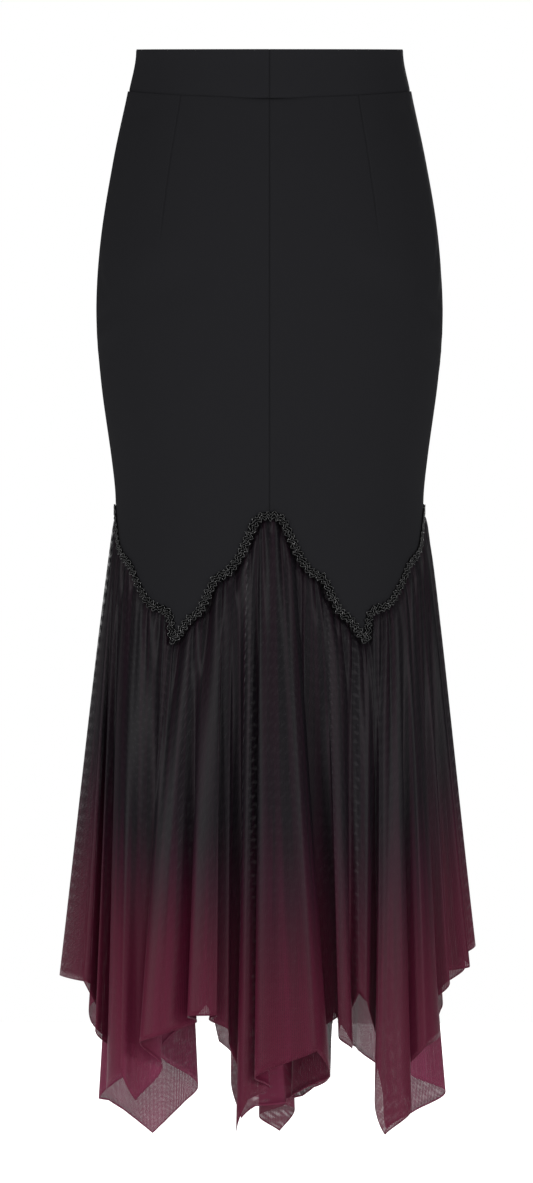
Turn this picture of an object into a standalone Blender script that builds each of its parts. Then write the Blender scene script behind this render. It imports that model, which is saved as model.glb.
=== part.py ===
"""A mermaid fishtail skirt as it hangs on a wearer: a fitted black body on a shaped waistband, with a
scalloped lower edge under a looped braid, and a gathered mesh flounce with a handkerchief hem.

Metres, +Z up. The origin is the centre of the waist opening at the side seams' height. The front faces -Y
and +X is to the right of someone who looks at the front. A turn is a place round the skirt: 0 at the centre
front, 1 at the +X side seam, 2 at the centre back, 3 at the -X side seam. A drop is a length below the
waist.
"""

import math
from collections import namedtuple

import bpy
import numpy as np

# Cloth and seams
BODY_WALL = 0.0015
BAND_WALL = 0.0020
MESH_WALL = 0.0010
SEAM_GAP = 0.0004
QUARTER_GIRTH = 0.205
BAND_INSET = 0.0010  # the band lies this much inside the body's own line
WAIST_TILT = 0.11  # the wearer's front waist hangs lower than the back

# The waistband is deepest at the centre front and the centre back
BAND_DEPTH_SIDE = 0.0390
BAND_DEPTH_EXTRA = 0.0056
BAND_ROWS = [0.0, 0.34, 0.67, 1.0]
BODY_ROWS = [0.0, 0.12, 0.24, 0.36, 0.48, 0.6, 0.72, 0.82, 0.9, 0.96, 1.0]

# Levels of the fitted body: half its width, and how far its front and back stand out from the side seams
Level = namedtuple("Level", "drop half_width front back")
LEVELS = [
    Level(0.000, 0.1292, 0.0910, 0.0930),
    Level(0.039, 0.1360, 0.0965, 0.1000),
    Level(0.106, 0.1502, 0.1040, 0.1130),
    Level(0.182, 0.1622, 0.1065, 0.1250),
    Level(0.250, 0.1663, 0.1060, 0.1290),
    Level(0.317, 0.1618, 0.1060, 0.1250),
    Level(0.394, 0.1512, 0.1060, 0.1170),
    Level(0.430, 0.1478, 0.1055, 0.1135),
    Level(0.480, 0.1486, 0.1045, 0.1105),
    Level(0.600, 0.1500, 0.1040, 0.1080),
]
WIDEST_COLUMN = 0.125  # of the way from peak to tip
EVEN_COLUMNS = 0.094  # radians taken off mid quarter, so that columns are equally far apart round the oval

# The scalloped edge: its peaks lie at the centres and side seams, its tips between them
PEAK_DROPS = (0.4365, 0.4400, 0.4300, 0.4400)  # centre front, side, centre back, side
TIP_DROP = 0.5570
TIP_TURN = 0.475  # how far each tip is from the centre front or the centre back

# The edge steps down in small scallops: share of the way from a peak to a tip, and of the fall between
Fall = namedtuple("Fall", "share fall")
FALLS_FROM_CENTRE = [
    Fall(0.000, 0.000),
    Fall(0.130, 0.030),
    Fall(0.225, 0.175),
    Fall(0.330, 0.345),
    Fall(0.450, 0.455),
    Fall(0.560, 0.500),
    Fall(0.680, 0.695),
    Fall(0.750, 0.780),
    Fall(0.820, 0.815),
    Fall(0.930, 0.930),
    Fall(1.000, 1.000),
]
FALLS_FROM_SIDE = [
    Fall(0.000, 0.000),
    Fall(0.090, 0.020),
    Fall(0.180, 0.145),
    Fall(0.280, 0.295),
    Fall(0.390, 0.365),
    Fall(0.490, 0.410),
    Fall(0.600, 0.550),
    Fall(0.740, 0.700),
    Fall(0.820, 0.735),
    Fall(0.940, 0.760),
    Fall(0.975, 0.820),
    Fall(1.000, 1.000),
]

# Looped braid on the scalloped edge, whose corners it rounds
BRAID_HALF_WIDTH = 0.0042
BRAID_LOBE = 0.0011
BRAID_THICKNESS = 0.0016
BRAID_CROWN = 0.0010
BRAID_STEP = 0.0046
BRAID_ROUNDING = 0.0024
FINE_STEP = 0.0005
TIP_CLOSING = 0.30  # how fast the braid's upper half grows on either side of a tip, where its runs meet
BEND_ROOM = 0.85  # of the width at which ribs of the braid would cross on the inside of a bend

# Flounce: its top edge is lapped behind the body's, and its gathers fade out below
FLOUNCE_LAP = 0.004
LAP_GAP = 0.0010
GATHER_HEIGHT = 0.0020
GATHER_PEAK = 0.026  # metres below the edge where the gathers stand highest
SOFT_START = 0.04  # share of the length over which the flounce swings from hanging straight to flaring
PUFF = 0.0034  # how far the flounce stands out from a straight line, most of all a third of the way down
PUFF_POWER = 0.65
HELD_REACH = 0.025  # the cloth hangs straight down to the edge's lowest place within this many turns
HELD_SAMPLES = 11
COLUMNS_PER_FOLD = 2
SHARPEST_BEND = -0.9  # cosine of the turn beyond which the wall's mitre grows no longer
FLOUNCE_END_GAP = 0.02  # fold edges left out at either end
FLOUNCE_ROWS = [0.0, 0.012, 0.04, 0.09, 0.16, 0.26, 0.38, 0.52, 0.68, 0.84, 1.0]

# Every edge of a fold of the flounce: the turn where it leaves the scalloped edge, and its place at the hem
Fold = namedtuple("Fold", "turn across depth drop")
FRONT_FOLDS = [
    Fold(-1.00, -0.2015, -0.004, 0.887),
    Fold(-0.95, -0.176, -0.066, 0.888),
    Fold(-0.91, -0.16, -0.055, 0.925),
    Fold(-0.87, -0.164, -0.087, 0.934),
    Fold(-0.84, -0.146, -0.075, 0.955),
    Fold(-0.80, -0.153, -0.106, 0.986),
    Fold(-0.72, -0.139, -0.131, 0.968),
    Fold(-0.63, -0.125, -0.128, 0.994),
    Fold(-0.56, -0.104, -0.121, 0.964),
    Fold(-0.50, -0.121, -0.148, 0.938),
    Fold(-0.44, -0.103, -0.156, 0.931),
    Fold(-0.39, -0.086, -0.15, 0.926),
    Fold(-0.36, -0.068, -0.139, 0.920),
    Fold(-0.32, -0.076, -0.162, 0.912),
    Fold(-0.24, -0.049, -0.167, 0.911),
    Fold(-0.215, -0.056, -0.149, 0.917),
    Fold(-0.19, -0.039, -0.151, 0.925),
    Fold(-0.17, -0.037, -0.139, 0.942),
    Fold(-0.15, -0.024, -0.134, 0.978),
    Fold(-0.13, -0.026, -0.148, 1.000),
    Fold(-0.11, -0.031, -0.161, 1.019),
    Fold(-0.085, -0.02, -0.165, 0.989),
    Fold(-0.065, 0, -0.149, 0.980),
    Fold(-0.045, -0.014, -0.175, 0.968),
    Fold(0.01, 0.012, -0.182, 0.955),
    Fold(0.075, 0.0435, -0.176, 0.943),
    Fold(0.13, 0.0555, -0.152, 0.970),
    Fold(0.16, 0.034, -0.139, 0.981),
    Fold(0.19, 0.020, -0.124, 0.994),
    Fold(0.22, 0.043, -0.120, 0.930),
    Fold(0.25, 0.066, -0.131, 0.913),
    Fold(0.29, 0.064, -0.145, 0.934),
    Fold(0.33, 0.077, -0.139, 0.945),
    Fold(0.38, 0.075, -0.123, 0.915),
    Fold(0.43, 0.083, -0.130, 0.894),
    Fold(0.48, 0.091, -0.131, 0.902),
    Fold(0.51, 0.101, -0.117, 0.944),
    Fold(0.55, 0.0975, -0.148, 0.997),
    Fold(0.60, 0.107, -0.154, 1.023),
    Fold(0.64, 0.132, -0.138, 1.003),
    Fold(0.67, 0.123, -0.117, 0.972),
    Fold(0.72, 0.145, -0.122, 0.945),
    Fold(0.77, 0.160, -0.098, 0.936),
    Fold(0.81, 0.150, -0.080, 0.910),
    Fold(0.85, 0.170, -0.078, 0.890),
    Fold(0.89, 0.164, -0.054, 0.880),
    Fold(0.93, 0.190, -0.048, 0.876),
    Fold(0.97, 0.182, -0.024, 0.866),
]
BACK_FOLDS = [
    Fold(1.00, 0.198, 0.002, 0.859),
    Fold(1.05, 0.182, 0.028, 0.874),
    Fold(1.10, 0.190, 0.058, 0.886),
    Fold(1.15, 0.168, 0.048, 0.902),
    Fold(1.20, 0.1675, 0.08, 0.928),
    Fold(1.25, 0.137, 0.082, 0.990),
    Fold(1.30, 0.173, 0.1, 1.010),
    Fold(1.36, 0.141, 0.130, 1.034),
    Fold(1.42, 0.116, 0.146, 1.052),
    Fold(1.46, 0.112, 0.124, 1.015),
    Fold(1.50, 0.1045, 0.108, 0.983),
    Fold(1.56, 0.09, 0.128, 0.974),
    Fold(1.61, 0.083, 0.152, 0.970),
    Fold(1.66, 0.064, 0.138, 0.934),
    Fold(1.72, 0.0605, 0.163, 1.002),
    Fold(1.76, 0.055, 0.132, 1.004),
    Fold(1.81, 0.044, 0.138, 1.010),
    Fold(1.86, 0.036, 0.171, 1.022),
    Fold(1.90, 0.013, 0.158, 1.026),
    Fold(1.95, 0.022, 0.177, 1.036),
    Fold(1.99, 0.010, 0.182, 1.058),
    Fold(2.04, -0.0105, 0.176, 1.042),
    Fold(2.08, 0.0165, 0.147, 1.026),
    Fold(2.13, -0.014, 0.150, 1.030),
    Fold(2.18, -0.028, 0.17, 1.044),
    Fold(2.22, -0.038, 0.158, 1.010),
    Fold(2.27, -0.037, 0.132, 0.975),
    Fold(2.32, -0.05, 0.156, 0.966),
    Fold(2.36, -0.063, 0.139, 0.928),
    Fold(2.40, -0.104, 0.110, 0.972),
    Fold(2.45, -0.071, 0.15, 1.008),
    Fold(2.50, -0.088, 0.156, 1.030),
    Fold(2.54, -0.104, 0.148, 1.045),
    Fold(2.58, -0.116, 0.146, 1.056),
    Fold(2.62, -0.132, 0.14, 1.042),
    Fold(2.66, -0.144, 0.12, 1.030),
    Fold(2.70, -0.158, 0.112, 1.020),
    Fold(2.75, -0.167, 0.098, 1.016),
    Fold(2.79, -0.138, 0.092, 0.990),
    Fold(2.83, -0.114, 0.09, 0.972),
    Fold(2.87, -0.164, 0.07, 0.950),
    Fold(2.91, -0.176, 0.06, 0.926),
    Fold(2.94, -0.164, 0.044, 0.906),
    Fold(2.97, -0.186, 0.032, 0.892),
]

CLOTH_BLACK = (0.0160, 0.0160, 0.0178, 1.0)
BRAID_BLACK = (0.0200, 0.0200, 0.0220, 1.0)
MESH_BURGUNDY = (0.0800, 0.0125, 0.0270, 1.0)


def unit(vector):
    return vector / np.linalg.norm(vector)


def smooth_steps(keys, values, at):
    """Values at the given places on a smooth curve through (keys, values), level at both ends."""
    keys, values = np.asarray(keys, float), np.asarray(values, float)
    slopes = np.zeros_like(values)
    slopes[1:-1] = (values[2:] - values[:-2]) / (keys[2:] - keys[:-2])
    at = np.clip(np.asarray(at, float), keys[0], keys[-1])
    i = np.clip(np.searchsorted(keys, at, side="right") - 1, 0, len(keys) - 2)
    width = keys[i + 1] - keys[i]
    t = (at - keys[i]) / width
    return (
        values[i] * (2 * t**3 - 3 * t**2 + 1)
        + slopes[i] * width * (t**3 - 2 * t**2 + t)
        + values[i + 1] * (3 * t**2 - 2 * t**3)
        + slopes[i + 1] * width * (t**3 - t**2)
    )


def oval_angle(turn):
    """The angle on the oval at a turn, in radians from the centre front."""
    return turn * math.pi / 2 - EVEN_COLUMNS * np.sin(turn * math.pi)


def body_point(turn, drop):
    """A point on the outside of the fitted body."""
    drops = [level.drop for level in LEVELS]
    angle = oval_angle(turn)
    half_width = smooth_steps(drops, [level.half_width for level in LEVELS], drop)
    front = smooth_steps(drops, [level.front for level in LEVELS], drop)
    back = smooth_steps(drops, [level.back for level in LEVELS], drop)
    x = half_width * np.sin(angle)
    y = -np.where(np.cos(angle) > 0, front, back) * np.cos(angle)
    return np.array([x, y, -drop + WAIST_TILT * y])


def body_normal(turn, drop):
    """The outward direction of the fitted body at a point."""
    step = 1e-4
    round_it = body_point(turn + step, drop) - body_point(turn - step, drop)
    down = body_point(turn, drop + step) - body_point(turn, drop - step)
    return unit(np.cross(down, round_it))


def inside_body(turn, drop, inset):
    """A point this far in from the outside of the fitted body."""
    return body_point(turn, drop) - inset * body_normal(turn, drop)


def band_depth(turn):
    return BAND_DEPTH_SIDE + BAND_DEPTH_EXTRA * math.cos(oval_angle(turn)) ** 2


def edge_drop(turn):
    """The drop of the scalloped edge: a peak at each whole turn and a tip half way between two."""
    centre = 2 * round(turn / 2)
    away = abs(turn - centre)
    if away < TIP_TURN:
        nearest, share, falls = centre, away / TIP_TURN, FALLS_FROM_CENTRE
    else:
        nearest = centre + (1 if turn > centre else -1)
        share, falls = (1 - away) / (1 - TIP_TURN), FALLS_FROM_SIDE
    peak = PEAK_DROPS[nearest % 4]
    fall = smooth_steps([row.share for row in falls], [row.fall for row in falls], share)
    return peak + (TIP_DROP - peak) * float(fall)


def material(name, colour, roughness):
    made = bpy.data.materials.new(name)
    made.use_nodes = True
    shader = made.node_tree.nodes["Principled BSDF"]
    shader.inputs["Base Color"].default_value = colour
    shader.inputs["Roughness"].default_value = roughness
    return made


def add_object(name, points, faces, surface, collection):
    mesh = bpy.data.meshes.new(name)
    mesh.from_pydata([tuple(p) for p in points], [], faces)
    mesh.validate()
    made = bpy.data.objects.new(name, mesh)
    made.data.materials.append(surface)
    collection.objects.link(made)
    mesh.shade_smooth()
    mesh.set_sharp_from_angle(angle=math.radians(50))
    return made


def add_cloth(name, outside, inside, surface, collection):
    """A wall of cloth between two grids of points: top rows first, columns by rising turn."""
    rows, columns = len(outside), len(outside[0])
    points = [point for grid in (outside, inside) for row in grid for point in row]
    behind = rows * columns
    faces = []
    for r in range(rows - 1):
        for c in range(columns - 1):
            above = r * columns + c
            below = above + columns
            falling = np.linalg.norm(points[above] - points[below + 1])
            rising = np.linalg.norm(points[above + 1] - points[below])
            if falling < rising:
                halves = [(above, below, below + 1), (above, below + 1, above + 1)]
            else:
                halves = [(above, below, above + 1), (above + 1, below, below + 1)]
            faces += halves + [tuple(behind + corner for corner in reversed(half)) for half in halves]
    right_side = [r * columns + columns - 1 for r in range(1, rows)]
    bottom = [(rows - 1) * columns + c for c in range(columns - 2, -1, -1)]
    left_side = [r * columns for r in range(rows - 2, 0, -1)]
    rim = list(range(columns)) + right_side + bottom + left_side
    for a, b in zip(rim, rim[1:] + rim[:1]):
        faces.append((a, b, behind + b, behind + a))
    return add_object(name, points, faces, surface, collection)


def column_shares(falls):
    """Columns at every row of a table of falls, and half way between two that are far apart."""
    shares = [row.share for row in falls]
    return shares + [(a + b) / 2 for a, b in zip(shares, shares[1:]) if b - a > WIDEST_COLUMN]


def panel_turns(first, last):
    """The turns of a fitted panel's columns."""
    turns = {first, last}
    for peak in range(first, last + 1):
        reach, falls = (TIP_TURN, FALLS_FROM_CENTRE) if peak % 2 == 0 else (1 - TIP_TURN, FALLS_FROM_SIDE)
        for share in column_shares(falls):
            places = (round(peak - share * reach, 6), round(peak + share * reach, 6))
            turns.update(place for place in places if first < place < last)
    turns = sorted(turns)
    turns[0] += SEAM_GAP / 2 / QUARTER_GIRTH
    turns[-1] -= SEAM_GAP / 2 / QUARTER_GIRTH
    return turns


def add_waistband(name, first, last, surface, collection):
    """A shaped band from the waist down to the body's seam."""

    turns = panel_turns(first, last)

    def grid(inset):
        return [
            [inside_body(turn, share * (band_depth(turn) - SEAM_GAP), inset) for turn in turns]
            for share in BAND_ROWS
        ]

    return add_cloth(name, grid(BAND_INSET), grid(BAND_INSET + BAND_WALL), surface, collection)


def add_body_panel(name, first, last, surface, collection):
    """A fitted panel from the waistband's seam down to the scalloped edge."""

    def grid(inset):
        return [
            [
                inside_body(turn, band_depth(turn) + (edge_drop(turn) - band_depth(turn)) * share, inset)
                for turn in panel_turns(first, last)
            ]
            for share in BODY_ROWS
        ]

    return add_cloth(name, grid(0), grid(BODY_WALL), surface, collection)


def rounded(line, step):
    """A closed line of points at even steps, with its corners rounded."""
    reach = int(3 * BRAID_ROUNDING / step)
    weights = [math.exp(-0.5 * (k * step / BRAID_ROUNDING) ** 2) for k in range(-reach, reach + 1)]
    shifted = [weight * np.roll(line, k - reach, axis=0) for k, weight in enumerate(weights)]
    return sum(shifted) / sum(weights)


def braid_line():
    """An even number of points at even steps along the closed edge, and the outward directions there."""
    turns = np.linspace(0, 4, 4001)
    line = np.array([body_point(turn, edge_drop(turn)) for turn in turns])
    along = np.concatenate([[0], np.cumsum(np.linalg.norm(np.diff(line, axis=0), axis=1))])
    count = 2 * round(along[-1] / BRAID_STEP / 2)
    finer = round(BRAID_STEP / FINE_STEP)
    fine_turns = np.interp(np.arange(count * finer) * along[-1] / (count * finer), along, turns)
    fine = np.array([body_point(turn, edge_drop(turn)) for turn in fine_turns])
    outward = [body_normal(turn, edge_drop(turn)) for turn in fine_turns[::finer]]
    return rounded(fine, along[-1] / (count * finer))[::finer], outward


def braid_halves(before, centre, after, outward, wide_above):
    """How far the braid reaches above and below its line, with room for its bends and its tips."""
    above = BRAID_HALF_WIDTH + BRAID_LOBE * wide_above
    below = BRAID_HALF_WIDTH + BRAID_LOBE * (1 - wide_above)
    bend = np.dot(np.cross(unit(centre - before), unit(after - centre)), outward)
    room = BEND_ROOM * np.linalg.norm(after - centre) / max(2 * math.tan(math.asin(abs(bend)) / 2), 1e-6)
    if bend > 0:
        above = min(above, room)
    else:
        below = min(below, room)
    tips = [body_point(peak + side * TIP_TURN, TIP_DROP) for peak in (0, 2) for side in (-1, 1)]
    nearest_tip = min(np.linalg.norm(centre - tip) for tip in tips)
    return min(above, TIP_CLOSING * nearest_tip), below


def add_braid(name, surface, collection):
    """A closed strip on the scalloped edge, with a loop's lobe at every other step on either side."""
    line, facing = braid_line()
    points = []
    for k, outward in enumerate(facing):
        before, centre, after = line[k - 1], line[k], line[(k + 1) % len(line)]
        downward = unit(np.cross(after - before, outward))
        above, below = braid_halves(before, centre, after, outward, k % 2)
        seat = centre + SEAM_GAP * outward
        points += [
            seat - above * downward,
            seat + below * downward,
            seat + below * downward + BRAID_THICKNESS * outward,
            seat + (BRAID_THICKNESS + BRAID_CROWN) * outward,
            seat - above * downward + BRAID_THICKNESS * outward,
        ]
    corners = 5
    faces = []
    for here in range(0, len(points), corners):
        ahead = (here + corners) % len(points)
        for c in range(corners):
            d = (c + 1) % corners
            faces.append((here + c, ahead + c, ahead + d, here + d))
    return add_object(name, points, faces, surface, collection)


def fold_place(at):
    """The turn at the top and the point at the hem, a fractional number of fold edges round the flounce."""
    folds = FRONT_FOLDS + BACK_FOLDS
    first = math.floor(at)
    t = at - first
    start, end = folds[first % len(folds)], folds[(first + 1) % len(folds)]
    a, b, c, d = (np.array([folds[(first + k) % len(folds)][1:3]]).ravel() for k in (-1, 0, 1, 2))
    across, depth = b + 0.5 * t * (
        c - a + t * (2 * a - 5 * b + 4 * c - d + t * (3 * b - a - 3 * c + d))
    )
    turn = start.turn + (end.turn - start.turn) % 4 * t
    return turn, np.array([across, depth, -start.drop - (end.drop - start.drop) * t])


def gather(below, at):
    """How far the gathers push the cloth out, this far below the body's edge."""
    share = max(0.0, below / GATHER_PEAK)
    return GATHER_HEIGHT * share**2 * math.exp(2 - 2 * share) * math.cos(2 * math.pi * at)


def flounce_point(at, share):
    """A point on the outside of the flounce: fold edges counted round it, and the share of its length."""
    turn, hem = fold_place(at)
    edge = edge_drop(turn)
    top = inside_body(turn, edge - FLOUNCE_LAP, BODY_WALL + LAP_GAP)
    length = top[2] - hem[2]
    nearby = np.linspace(turn - HELD_REACH, turn + HELD_REACH, HELD_SAMPLES)
    held = FLOUNCE_LAP + max(edge_drop(place) for place in nearby) - edge
    free = max(0.0, (share * length - held) / (length - held))
    swing = free**2 / (free + SOFT_START) * (1 + SOFT_START)
    point = top + (hem - top) * np.array([swing, swing, share])
    puff = PUFF * math.sin(math.pi * min(free, 1) ** PUFF_POWER)
    push = puff + gather(share * length - held, at)
    return point + push * body_normal(turn, edge - FLOUNCE_LAP)


def flounce_wall(at, share):
    """The outer and the inner point of the flounce's wall."""
    step = 1 / COLUMNS_PER_FOLD
    before, point, after = (flounce_point(place, share) for place in (at - step, at, at + step))
    down = flounce_point(at, share + 0.02) - flounce_point(at, max(share - 0.02, 0))
    inward_before = unit(np.cross(point - before, down))
    inward_after = unit(np.cross(after - point, down))
    mitre = 1 + max(np.dot(inward_before, inward_after), SHARPEST_BEND)
    return point, point + MESH_WALL / mitre * (inward_before + inward_after)


def add_flounce(name, first, last, surface, collection):
    """The gathered mesh from one side seam to the other, each fold running straight to the hem."""
    places = [first + c / COLUMNS_PER_FOLD for c in range(COLUMNS_PER_FOLD * (last - first) + 1)]
    places[0] += FLOUNCE_END_GAP
    places[-1] -= FLOUNCE_END_GAP
    walls = [[flounce_wall(at, share) for at in places] for share in FLOUNCE_ROWS]
    outside = [[wall[0] for wall in row] for row in walls]
    inside = [[wall[1] for wall in row] for row in walls]
    return add_cloth(name, outside, inside, surface, collection)


def main():
    for old in list(bpy.data.objects):
        bpy.data.objects.remove(old)
    skirt = bpy.data.collections.new("Fishtail skirt")
    bpy.context.scene.collection.children.link(skirt)
    black = material("Black suiting", CLOTH_BLACK, 0.9)
    braid = material("Black braid", BRAID_BLACK, 0.6)
    mesh = material("Burgundy mesh", MESH_BURGUNDY, 0.7)

    add_waistband("waistband_front_right", 0, 1, black, skirt)
    add_waistband("waistband_back", 1, 3, black, skirt)
    add_waistband("waistband_front_left", 3, 4, black, skirt)
    add_body_panel("body_front_right", 0, 1, black, skirt)
    add_body_panel("body_back", 1, 3, black, skirt)
    add_body_panel("body_front_left", 3, 4, black, skirt)
    add_braid("braid_trim", braid, skirt)
    side_seam = len(FRONT_FOLDS)
    add_flounce("flounce_front", 0, side_seam, mesh, skirt)
    add_flounce("flounce_back", side_seam, side_seam + len(BACK_FOLDS), mesh, skirt)


main()
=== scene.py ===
"""The looks of the fishtail skirt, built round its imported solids.

Metres, +Z up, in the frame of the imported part. The front faces -Y, with +X on its viewer's right. A turn
is a place round the skirt: 0 at the centre front, 1 at the +X side seam, 2 at the centre back and 3 at the
-X side seam. A drop is a length below the waist. Every solid is replaced by finer cloth on the same form.
"""

import math
from collections import namedtuple

import bpy
import numpy as np
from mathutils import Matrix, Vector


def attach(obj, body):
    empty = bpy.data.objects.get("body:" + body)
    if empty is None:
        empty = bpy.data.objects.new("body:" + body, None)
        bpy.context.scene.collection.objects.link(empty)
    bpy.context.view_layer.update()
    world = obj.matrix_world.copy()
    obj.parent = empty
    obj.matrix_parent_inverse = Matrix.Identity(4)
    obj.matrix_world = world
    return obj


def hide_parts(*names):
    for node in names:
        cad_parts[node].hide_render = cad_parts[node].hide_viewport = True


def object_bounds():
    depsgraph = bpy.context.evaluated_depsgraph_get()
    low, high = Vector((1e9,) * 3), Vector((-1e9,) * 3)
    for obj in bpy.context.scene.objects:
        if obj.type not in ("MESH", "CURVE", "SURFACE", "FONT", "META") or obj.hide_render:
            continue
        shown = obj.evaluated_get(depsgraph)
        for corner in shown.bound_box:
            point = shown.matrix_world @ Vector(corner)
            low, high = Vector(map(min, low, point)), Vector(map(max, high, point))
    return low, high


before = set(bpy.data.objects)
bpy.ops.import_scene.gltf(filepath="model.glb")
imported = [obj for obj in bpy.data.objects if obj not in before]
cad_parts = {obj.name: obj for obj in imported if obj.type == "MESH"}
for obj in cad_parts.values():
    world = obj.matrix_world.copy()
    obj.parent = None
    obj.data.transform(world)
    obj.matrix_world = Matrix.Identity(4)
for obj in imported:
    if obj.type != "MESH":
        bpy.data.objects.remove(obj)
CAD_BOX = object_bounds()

MM = 0.001

# -------------------- sizes of the body and the waistband
BODY_WALL = 1.5 * MM
BAND_WALL = 2.0 * MM
QUARTER_GIRTH = 0.205  # makes lengths of turns
BAND_INSET = 1.0 * MM  # the band lies this much inside the body's own line
WAIST_TILT = 0.11  # the wearer's front waist hangs lower than the back
BAND_DEPTH_SIDE = 0.0390
BAND_DEPTH_EXTRA = 0.0056
BAND_RISE = 1.2 * MM  # its rolled top edge stands this far over the waist
EVEN_COLUMNS = 0.094  # radians taken off mid quarter, which keeps columns equally far apart

Level = namedtuple("Level", "drop half_width front back")
LEVELS = [
    Level(0.000, 0.1292, 0.0910, 0.0930),
    Level(0.039, 0.1360, 0.0965, 0.1000),
    Level(0.106, 0.1502, 0.1040, 0.1130),
    Level(0.182, 0.1622, 0.1065, 0.1250),
    Level(0.250, 0.1663, 0.1060, 0.1290),
    Level(0.317, 0.1618, 0.1060, 0.1250),
    Level(0.394, 0.1512, 0.1060, 0.1170),
    Level(0.430, 0.1478, 0.1055, 0.1135),
    Level(0.480, 0.1486, 0.1045, 0.1105),
    Level(0.600, 0.1500, 0.1040, 0.1080),
]

# Panels of the waistband and the body, each with the turns of its seams
PANELS = [("front_right", 0, 1), ("back", 1, 3), ("front_left", 3, 4)]

# The scalloped edge has peaks at the centres and side seams, and a tip between each two
PEAK_DROPS = (0.4365, 0.4400, 0.4300, 0.4400)  # centre front, side, centre back, side
TIP_DROP = 0.5570
TIP_TURN = 0.475  # how far each tip is from the centre front or the centre back
HIP_DROP = 0.250

# It steps down in small scallops: share of the way from a peak to a tip, and of the fall between them
Fall = namedtuple("Fall", "share fall")
FALLS_FROM_CENTRE = [
    Fall(0.0, 0.0),
    Fall(0.13, 0.03),
    Fall(0.225, 0.175),
    Fall(0.33, 0.345),
    Fall(0.45, 0.455),
    Fall(0.56, 0.5),
    Fall(0.68, 0.695),
    Fall(0.75, 0.78),
    Fall(0.82, 0.815),
    Fall(0.93, 0.93),
    Fall(1.0, 1.0),
]
FALLS_FROM_SIDE = [
    Fall(0.0, 0.0),
    Fall(0.09, 0.02),
    Fall(0.18, 0.145),
    Fall(0.28, 0.295),
    Fall(0.39, 0.365),
    Fall(0.49, 0.41),
    Fall(0.6, 0.55),
    Fall(0.74, 0.7),
    Fall(0.82, 0.735),
    Fall(0.94, 0.76),
    Fall(0.975, 0.82),
    Fall(1.0, 1.0),
]

# Columns and rows of the fine cloth
COLUMNS_PER_QUARTER = 80
BAND_ROWS = 16
BODY_ROWS = 120
EDGE_SAMPLES = 8001  # along which the scalloped edge is measured for the braid
PLACE_DIGITS = 6  # to which a column's turn is rounded
CLOSE_ROWS = [0.5 * MM, 1.0 * MM, 1.6 * MM, 2.3 * MM]  # extra rows under the waistband
CLOSE_COLUMNS = [0.4 * MM, 0.8 * MM, 1.3 * MM, 2.0 * MM]  # extra columns beside a seam or a dart

# A dart runs from the waistband's seam to its point
DART_TOP_TURN = 0.475
DART_END_TURN = 0.503
DART_END_DROP = 0.186
DART_FADE = 0.035
DART_DEPTH = 0.85 * MM
DART_HALF_WIDTH = 0.7 * MM

# Seams: the cloth turns in towards them
INSIDE_RELIEF = 0.8  # of the outside's, on the inside of the wall
SEAM_ROLL = 0.80 * MM
SEAM_ROLL_WIDTH = 0.8 * MM
BAND_ROLL = 0.45 * MM  # of the waistband's top and bottom edges
BAND_ROLL_INSIDE = 0.4 * MM
BAND_ROLL_WIDTH = 0.9 * MM
BAND_SHADOW_DEPTH = 2.8 * MM  # the body's top edge sinks under the band at the centre front
BAND_SHADOW_REACH = 30 * MM
BAND_SHADOW_HEIGHT = 1.3 * MM

# Ripples of hanging cloth: radians to the turn round the skirt and to the metre down it
Ripple = namedtuple("Ripple", "around down start")
LONG_RIPPLE = Ripple(9.1, 23, 0.0)
CROSS_RIPPLE = Ripple(0.0, 31, 1.3)
FINE_RIPPLE = Ripple(4.7, -47, 0.8)
FINE_RIPPLE_SHARE = 0.6
BODY_RIPPLE_HEIGHT = 0.12 * MM
BAND_RIPPLE_HEIGHT = 0.10 * MM

# Creases of the fitted body run from one place to another, on both sides or on one
Crease = namedtuple("Crease", "side turn drop end_turn end_drop width depth")
BOTH, RIGHT, LEFT = 0, 1, -1
CREASES = [
    Crease(BOTH, 0.99, 0.046, 0.84, 0.053, 5 * MM, 0.7 * MM),
    Crease(BOTH, 0.96, 0.262, 0.7, 0.236, 7 * MM, 0.9 * MM),
    Crease(BOTH, 0.98, 0.284, 0.76, 0.272, 6 * MM, 1.2 * MM),
    Crease(LEFT, 0.97, 0.304, 0.66, 0.262, 9 * MM, 1.1 * MM),
    Crease(RIGHT, 0.99, 0.296, 0.84, 0.288, 4 * MM, 0.9 * MM),
    Crease(RIGHT, 0.98, 0.318, 0.72, 0.276, 9 * MM, 1.0 * MM),
    Crease(LEFT, 0.96, 0.19, 0.78, 0.24, 7 * MM, 0.8 * MM),
    Crease(RIGHT, 0.95, 0.178, 0.8, 0.214, 5 * MM, 0.8 * MM),
    Crease(RIGHT, 0.98, 0.205, 0.84, 0.246, 6 * MM, 0.8 * MM),
    Crease(BOTH, 0.66, 0.236, 0.26, 0.2, 20 * MM, 1.9 * MM),
    Crease(LEFT, 0.8, 0.06, 0.6, 0.052, 8 * MM, 0.6 * MM),
    Crease(RIGHT, 0.82, 0.058, 0.64, 0.056, 7 * MM, 0.5 * MM),
    Crease(BOTH, 1.04, 0.3, 1.3, 0.322, 8 * MM, 1.2 * MM),
    Crease(RIGHT, 1.08, 0.336, 1.42, 0.352, 9 * MM, 1.0 * MM),
    Crease(LEFT, 1.06, 0.324, 1.36, 0.366, 8 * MM, 1.1 * MM),
    Crease(BOTH, 1.5, 0.356, 1.86, 0.342, 12 * MM, 1.2 * MM),
    Crease(LEFT, 1.3, 0.08, 1.56, 0.074, 9 * MM, 0.6 * MM),
    Crease(RIGHT, 1.36, 0.07, 1.62, 0.078, 8 * MM, 0.6 * MM),
]
CREASE_BOW = 0.06  # of its length, by which its middle sags
CREASE_TAPER = 0.8  # below 1, its ends are blunter
CREASE_RIDGE = 0.45  # of its depth, by which the cloth beside it swells
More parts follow.
